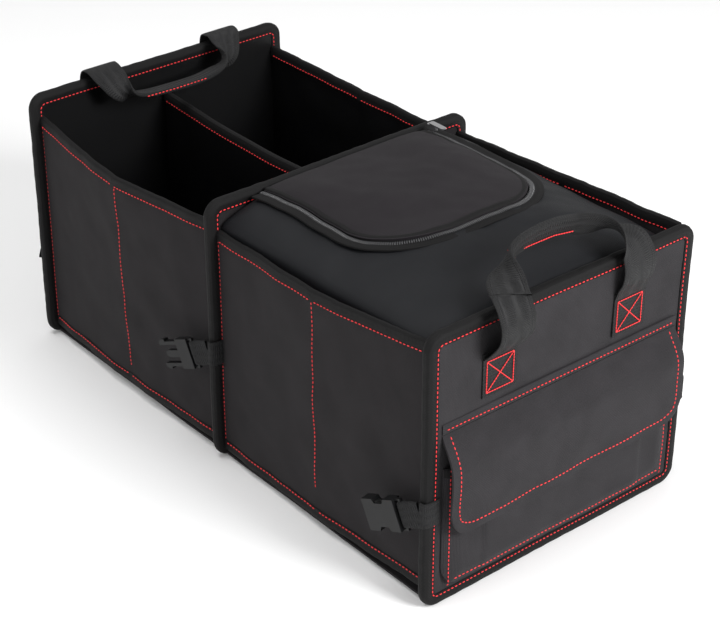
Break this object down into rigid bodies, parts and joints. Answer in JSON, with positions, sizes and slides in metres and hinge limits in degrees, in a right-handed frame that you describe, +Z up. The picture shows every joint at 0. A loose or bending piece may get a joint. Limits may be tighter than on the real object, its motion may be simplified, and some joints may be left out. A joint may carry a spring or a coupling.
{
  "type": "folding car boot organiser",
  "caption": "Folding fabric boot organiser with an open divided bay, a zipped domed cooler bay, carry handles, flap pocket and side-release buckles.",
  "frame": {"origin": "bottom centre of the middle panel, on the surface the organiser stands on", "axes": "+Z up, +X along the box towards the pocket and cooler end, +Y to the right as seen by someone facing the pocket"},
  "size_m": [0.6375, 0.3444, 0.319],
  "materials": {
    "stiffener_board": "matt",
    "base_board": "matt",
    "panel_fabric": "woven polyester, matt",
    "edge_tape": "folded grosgrain tape",
    "side_fabric": "woven polyester, matt",
    "lining": "coated nylon, satin",
    "liner_foil": "metallised film",
    "top_fabric": "smooth polyester over foam",
    "lid_fabric": "woven polyester over foam",
    "zip_tape": "knitted tape",
    "zip_coil": "nylon coil",
    "zip_metal": "nickel plated",
    "webbing": "ribbed polypropylene webbing",
    "buckle_plastic": "moulded acetal, satin",
    "hook_and_loop": "hook-and-loop tape"
  },
  "bodies": {
    "root": {"mid_panel_board": "stiffener_board", "mid_panel_cover": "panel_fabric", "mid_panel_binding": "edge_tape", "bin_floor": "side_fabric", "cooler_floor": "side_fabric", "divider_panel": "lining", "divider_binding": "edge_tape", "cooler_liner": "liner_foil", "cooler_top": "top_fabric", "zip_tape": "zip_tape", "zip_coil": "zip_coil"},
    "bin_left_inner": {"bin_left_inner": "side_fabric", "bin_left_crease": "side_fabric"},
    "bin_left_outer": {"bin_left_outer": "side_fabric"},
    "bin_right_inner": {"bin_right_inner": "side_fabric", "bin_right_crease": "side_fabric"},
    "bin_right_outer": {"bin_right_outer": "side_fabric"},
    "cooler_left_inner": {"cooler_left_inner": "side_fabric", "cooler_left_crease": "side_fabric"},
    "cooler_left_outer": {"cooler_left_outer": "side_fabric"},
    "cooler_right_inner": {"cooler_right_inner": "side_fabric", "cooler_right_crease": "side_fabric"},
    "cooler_right_outer": {"cooler_right_outer": "side_fabric"},
    "far_panel": {"far_panel_board": "stiffener_board", "far_panel_cover": "panel_fabric", "far_panel_binding": "edge_tape", "far_handle_legs": "webbing"},
    "front_panel": {"front_panel_board": "stiffener_board", "front_panel_cover": "panel_fabric", "front_panel_binding": "edge_tape", "front_handle_anchors": "webbing", "pocket_body": "panel_fabric", "pocket_loop_strip": "hook_and_loop"},
    "bin_left_board": {"bin_left_base_board": "base_board"},
    "bin_right_board": {"bin_right_base_board": "base_board"},
    "lid": {"lid_flap": "lid_fabric", "lid_piping": "edge_tape"},
    "zip_slider": {"zip_slider": "zip_metal"},
    "zip_pull": {"zip_pull": "zip_metal"},
    "pocket_flap": {"pocket_flap": "panel_fabric", "pocket_hook_strip": "hook_and_loop"},
    "front_handle": {"front_handle_loop": "webbing"},
    "far_handle": {"far_handle_loop": "webbing"},
    "front_left_buckle": {"front_left_buckle_female": "buckle_plastic", "front_left_buckle_strap": "webbing"},
    "far_left_buckle": {"far_left_buckle_female": "buckle_plastic", "far_left_buckle_strap": "webbing"},
    "mid_left_buckle": {"mid_left_buckle_frame": "buckle_plastic", "mid_left_buckle_strap": "webbing"},
    "mid_left_buckle_arm_upper": {"mid_left_buckle_arm_upper": "buckle_plastic"},
    "mid_left_buckle_arm_lower": {"mid_left_buckle_arm_lower": "buckle_plastic"},
    "front_right_buckle": {"front_right_buckle_female": "buckle_plastic", "front_right_buckle_strap": "webbing"},
    "far_right_buckle": {"far_right_buckle_female": "buckle_plastic", "far_right_buckle_strap": "webbing"},
    "mid_right_buckle": {"mid_right_buckle_frame": "buckle_plastic", "mid_right_buckle_strap": "webbing"},
    "mid_right_buckle_arm_upper": {"mid_right_buckle_arm_upper": "buckle_plastic"},
    "mid_right_buckle_arm_lower": {"mid_right_buckle_arm_lower": "buckle_plastic"}
  },
  "joints": [
    {"name": "bin_fold", "type": "hinge", "parent": "root", "child": "bin_left_inner", "pos_m": [-0.0079, -0.1405, 0.135], "axis": [0, 0, -1], "range_deg": [0, 84], "deforming": ["bin_floor", "bin_left_base_board", "bin_right_base_board", "divider_panel", "divider_binding", "bin_left_crease", "bin_right_crease"]},
    {"name": "bin_left_crease_fold", "type": "hinge", "parent": "bin_left_inner", "child": "bin_left_outer", "pos_m": [-0.14765, -0.1465, 0.135], "axis": [0, 0, -1], "range_deg": [-168, 0]},
    {"name": "bin_end_turn", "type": "hinge", "parent": "bin_left_outer", "child": "far_panel", "pos_m": [-0.2874, -0.1405, 0.135], "axis": [0, 0, -1], "range_deg": [0, 84]},
    {"name": "bin_right_side_fold", "type": "hinge", "parent": "root", "child": "bin_right_inner", "pos_m": [-0.0079, 0.1405, 0.135], "axis": [0, 0, 1], "range_deg": [0, 84]},
    {"name": "bin_right_crease_fold", "type": "hinge", "parent": "bin_right_inner", "child": "bin_right_outer", "pos_m": [-0.14765, 0.1465, 0.135], "axis": [0, 0, 1], "range_deg": [-168, 0]},
    {"name": "cooler_fold", "type": "hinge", "parent": "root", "child": "cooler_left_inner", "pos_m": [0.0079, -0.1405, 0.135], "axis": [0, 0, 1], "range_deg": [0, 84], "deforming": ["cooler_floor", "cooler_liner", "cooler_top", "zip_tape", "zip_coil", "lid_flap", "lid_piping", "cooler_left_crease", "cooler_right_crease"]},
    {"name": "cooler_left_crease_fold", "type": "hinge", "parent": "cooler_left_inner", "child": "cooler_left_outer", "pos_m": [0.14765, -0.1465, 0.135], "axis": [0, 0, 1], "range_deg": [-168, 0]},
    {"name": "cooler_end_turn", "type": "hinge", "parent": "cooler_left_outer", "child": "front_panel", "pos_m": [0.2874, -0.1405, 0.135], "axis": [0, 0, 1], "range_deg": [0, 84]},
    {"name": "cooler_right_side_fold", "type": "hinge", "parent": "root", "child": "cooler_right_inner", "pos_m": [0.0079, 0.1405, 0.135], "axis": [0, 0, -1], "range_deg": [0, 84]},
    {"name": "cooler_right_crease_fold", "type": "hinge", "parent": "cooler_right_inner", "child": "cooler_right_outer", "pos_m": [0.14765, 0.1465, 0.135], "axis": [0, 0, -1], "range_deg": [-168, 0]},
    {"name": "bin_left_board_lift", "type": "slide", "parent": "root", "child": "bin_left_board", "axis": [0, 0, 1], "range_m": [0, 0.2]},
    {"name": "bin_right_board_lift", "type": "slide", "parent": "root", "child": "bin_right_board", "axis": [0, 0, 1], "range_m": [0, 0.2]},
    {"name": "lid_open", "type": "hinge", "parent": "root", "child": "lid", "pos_m": [0.0075, 0, 0.273], "axis": [0, 1, 0], "range_deg": [-165, 0]},
    {"name": "zip_slide", "type": "slide", "parent": "root", "child": "zip_slider", "axis": [-1, 0, 0], "range_m": [-0.11, 0]},
    {"name": "zip_pull_swing", "type": "hinge", "parent": "zip_slider", "child": "zip_pull", "pos_m": [0.014, 0.0988, 0.28009], "axis": [0, 1, 0], "range_deg": [-165, 0]},
    {"name": "pocket_flap_lift", "type": "hinge", "parent": "front_panel", "child": "pocket_flap", "pos_m": [0.3003, 0, 0.173], "axis": [0, 1, 0], "range_deg": [-120, 0]},
    {"name": "front_handle_swing", "type": "hinge", "parent": "front_panel", "child": "front_handle", "pos_m": [0.3013, 0, 0.2323], "axis": [0, -1, 0], "range_deg": [-70, 0]},
    {"name": "far_handle_swing", "type": "hinge", "parent": "far_panel", "child": "far_handle", "pos_m": [-0.3018, 0, 0.26], "axis": [0, 1, 0], "range_deg": [-170, 0]},
    {"name": "front_left_strap_swing", "type": "hinge", "parent": "front_panel", "child": "front_left_buckle", "pos_m": [0.2968, -0.15664, 0.101], "axis": [0, 0, -1], "range_deg": [-100, 0]},
    {"name": "far_left_strap_swing", "type": "hinge", "parent": "far_panel", "child": "far_left_buckle", "pos_m": [-0.30164, -0.15064, 0.101], "axis": [0, 0, -1], "range_deg": [-170, 0]},
    {"name": "mid_left_strap_swing", "type": "hinge", "parent": "root", "child": "mid_left_buckle", "pos_m": [0, -0.15664, 0.118], "axis": [0, 0, -1], "range_deg": [-100, 0]},
    {"name": "mid_left_arm_upper", "type": "hinge", "parent": "mid_left_buckle", "child": "mid_left_buckle_arm_upper", "pos_m": [-0.04086, -0.16384, 0.1131], "axis": [-0.1736, 0.9848, 0], "range_deg": [-5, 0], "stiffness_Nm_per_rad": 0.02},
    {"name": "mid_left_arm_lower", "type": "hinge", "parent": "mid_left_buckle", "child": "mid_left_buckle_arm_lower", "pos_m": [-0.03274, -0.16241, 0.0927], "axis": [0.1736, -0.9848, 0], "range_deg": [-5, 0], "stiffness_Nm_per_rad": 0.02},
    {"name": "front_right_strap_swing", "type": "hinge", "parent": "front_panel", "child": "front_right_buckle", "pos_m": [0.2968, 0.15664, 0.101], "axis": [0, 0, 1], "range_deg": [-100, 0]},
    {"name": "far_right_strap_swing", "type": "hinge", "parent": "far_panel", "child": "far_right_buckle", "pos_m": [-0.30164, 0.15064, 0.101], "axis": [0, 0, 1], "range_deg": [-170, 0]},
    {"name": "mid_right_strap_swing", "type": "hinge", "parent": "root", "child": "mid_right_buckle", "pos_m": [0, 0.15664, 0.118], "axis": [0, 0, 1], "range_deg": [-100, 0]},
    {"name": "mid_right_arm_upper", "type": "hinge", "parent": "mid_right_buckle", "child": "mid_right_buckle_arm_upper", "pos_m": [-0.04086, 0.16384, 0.1131], "axis": [0.1736, 0.9848, 0], "range_deg": [-5, 0], "stiffness_Nm_per_rad": 0.02},
    {"name": "mid_right_arm_lower", "type": "hinge", "parent": "mid_right_buckle", "child": "mid_right_buckle_arm_lower", "pos_m": [-0.03274, 0.16241, 0.0927], "axis": [-0.1736, -0.9848, 0], "range_deg": [-5, 0], "stiffness_Nm_per_rad": 0.02}
  ],
  "couplings": [
    {"joint": "bin_left_crease_fold", "follows": "bin_fold", "ratio": -2},
    {"joint": "bin_end_turn", "follows": "bin_fold", "ratio": 1},
    {"joint": "bin_right_crease_fold", "follows": "bin_fold", "ratio": -2},
    {"joint": "bin_right_side_fold", "follows": "bin_fold", "ratio": 1},
    {"joint": "cooler_left_crease_fold", "follows": "cooler_fold", "ratio": -2},
    {"joint": "cooler_end_turn", "follows": "cooler_fold", "ratio": 1},
    {"joint": "cooler_right_crease_fold", "follows": "cooler_fold", "ratio": -2},
    {"joint": "cooler_right_side_fold", "follows": "cooler_fold", "ratio": 1},
    {"joint": "mid_left_arm_lower", "follows": "mid_left_arm_upper", "ratio": 1},
    {"joint": "mid_right_arm_lower", "follows": "mid_right_arm_upper", "ratio": 1}
  ]
}
